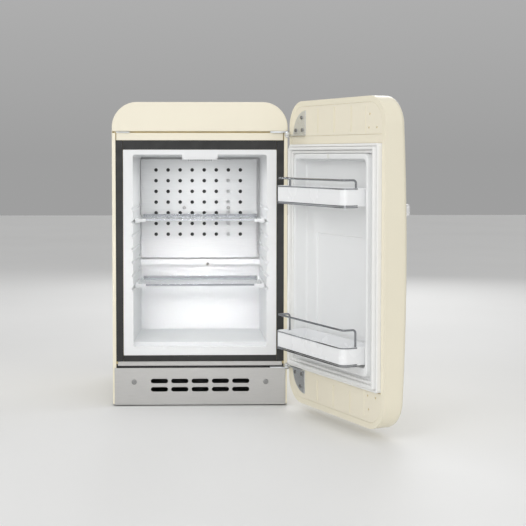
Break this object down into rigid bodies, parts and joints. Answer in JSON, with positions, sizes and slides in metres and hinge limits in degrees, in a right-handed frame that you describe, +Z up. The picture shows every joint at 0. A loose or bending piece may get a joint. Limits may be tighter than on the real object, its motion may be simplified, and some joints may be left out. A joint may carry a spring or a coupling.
{
  "type": "mini fridge",
  "caption": "Free-standing mini fridge with a rounded cream case, a bowed door on side hinges with bins, glass shelves and a perforated cold plate.",
  "frame": {"origin": "on the floor, midway between the cabinet's sides, in the plane of the cabinet's front face", "axes": "+X to the right seen from the front, +Y back into the cabinet, +Z up"},
  "size_m": [0.6407, 0.7991, 0.7025],
  "materials": {
    "cream_paint": "smooth cream enamel, semi-gloss",
    "cream_moulding": "cream moulded plastic, satin gloss",
    "dark_frame": "dark grey satin paint",
    "white_liner": "white thermoformed plastic, satin",
    "foam_core": "pale rigid insulating foam",
    "galvanised_steel": "galvanised sheet steel",
    "black_steel": "black satin paint on steel",
    "brushed_plinth": "brushed aluminium, grain along its length",
    "cold_plate_metal": "finely brushed aluminium",
    "evaporator_black": "black coated aluminium",
    "hinge_steel": "zinc plated steel, satin",
    "screw_steel": "zinc plated steel",
    "bush_plastic": "white low-friction plastic",
    "lamp_lens": "ribbed translucent lens",
    "circuit_board": "white circuit board with light-emitting diodes",
    "unit_steel": "black painted steel tube",
    "fin_aluminium": "plain aluminium sheet",
    "jacket_steel": "galvanised steel jacket",
    "heater_steel": "stainless steel sheath",
    "control_plastic": "black moulded plastic with a fine texture",
    "inlet_plastic": "black moulded plastic",
    "knob_plastic": "off-white moulded plastic",
    "seal_rubber": "white soft magnetic seal",
    "door_panel": "white thermoformed plastic, satin",
    "chrome_trim": "bright chrome that mirrors darker surroundings",
    "handle_chrome": "polished bright chrome",
    "bin_plastic": "white translucent moulded plastic",
    "shelf_glass": "clear toughened glass with polished edges",
    "shelf_plastic": "white moulded plastic",
    "foot_plastic": "black moulded plastic"
  },
  "bodies": {
    "cabinet": {"outer_case": "cream_paint", "fascia": "cream_moulding", "top_rail": "cream_moulding", "frame_stiles": "dark_frame", "frame_crossmembers": "dark_frame", "inner_liner": "white_liner", "insulation_foam": "foam_core", "rear_panel": "galvanised_steel", "base_plate": "black_steel", "front_rail": "black_steel", "foot_sockets": "galvanised_steel", "plinth": "brushed_plinth", "plinth_trim": "brushed_plinth", "hinge_blank": "hinge_steel", "cabinet_hinge_brackets": "hinge_steel", "hinge_anchor": "galvanised_steel", "cabinet_screws": "screw_steel", "hinge_pins": "screw_steel", "cold_plate": "cold_plate_metal", "evaporator": "evaporator_black", "lamp_housing": "white_liner", "lamp_lens": "lamp_lens", "lamp_board": "circuit_board", "drain_tube": "bush_plastic", "absorber_vessel": "unit_steel", "cooling_circuit": "unit_steel", "condenser_fins": "fin_aluminium", "boiler_jacket": "jacket_steel", "boiler_tube": "unit_steel", "heater_cartridge": "heater_steel", "control_box": "control_plastic", "mains_inlet": "inlet_plastic", "thermostat": "control_plastic"},
    "door": {"door_shell": "cream_paint", "door_foam": "foam_core", "door_liner": "door_panel", "liner_plug": "bush_plastic", "door_top_cap": "cream_moulding", "door_bottom_cap": "cream_moulding", "door_strip": "cream_moulding", "door_gasket": "seal_rubber", "door_hinge_leaves": "hinge_steel", "hinge_bushes": "bush_plastic", "leaf_screws": "screw_steel", "handle": "handle_chrome"},
    "thermostat_knob": {"thermostat_knob": "knob_plastic"},
    "upper_bin": {"upper_bin_tray": "bin_plastic", "upper_bin_guard": "chrome_trim"},
    "upper_shelf": {"upper_shelf_glass": "shelf_glass", "upper_shelf_rails": "shelf_plastic", "upper_shelf_trims": "chrome_trim"},
    "lower_bin": {"lower_bin_tray": "bin_plastic", "lower_bin_guard": "chrome_trim"},
    "lower_shelf": {"lower_shelf_glass": "shelf_glass", "lower_shelf_rails": "shelf_plastic", "lower_shelf_trims": "chrome_trim"},
    "foot_front_left": {"foot_front_left": "foot_plastic"},
    "foot_front_right": {"foot_front_right": "foot_plastic"},
    "foot_rear_left": {"foot_rear_left": "foot_plastic"},
    "foot_rear_right": {"foot_rear_right": "foot_plastic"}
  },
  "joints": [
    {"name": "door_hinge", "type": "hinge", "parent": "cabinet", "child": "door", "pos_m": [0.201, -0.01, 0.36], "axis": [0, 0, 1], "range_deg": [-114.2, 15.8]},
    {"name": "thermostat_turn", "type": "hinge", "parent": "cabinet", "child": "thermostat_knob", "pos_m": [-0.158, 0.405, 0.068], "axis": [0, -1, 0], "range_deg": [-135, 135]},
    {"name": "upper_shelf_slide", "type": "slide", "parent": "cabinet", "child": "upper_shelf", "axis": [0, -1, 0], "range_m": [0, 0.12]},
    {"name": "upper_bin_lift", "type": "slide", "parent": "door", "child": "upper_bin", "axis": [0, 0, 1], "range_m": [0, 0.02]},
    {"name": "lower_shelf_slide", "type": "slide", "parent": "cabinet", "child": "lower_shelf", "axis": [0, -1, 0], "range_m": [0, 0.12]},
    {"name": "lower_bin_lift", "type": "slide", "parent": "door", "child": "lower_bin", "axis": [0, 0, 1], "range_m": [0, 0.02]},
    {"name": "foot_front_left_screw", "type": "slide", "parent": "cabinet", "child": "foot_front_left", "axis": [0, 0, -1], "range_m": [0, 0.008]},
    {"name": "foot_front_right_screw", "type": "slide", "parent": "cabinet", "child": "foot_front_right", "axis": [0, 0, -1], "range_m": [0, 0.008]},
    {"name": "foot_rear_left_screw", "type": "slide", "parent": "cabinet", "child": "foot_rear_left", "axis": [0, 0, -1], "range_m": [0, 0.008]},
    {"name": "foot_rear_right_screw", "type": "slide", "parent": "cabinet", "child": "foot_rear_right", "axis": [0, 0, -1], "range_m": [0, 0.008]}
  ]
}
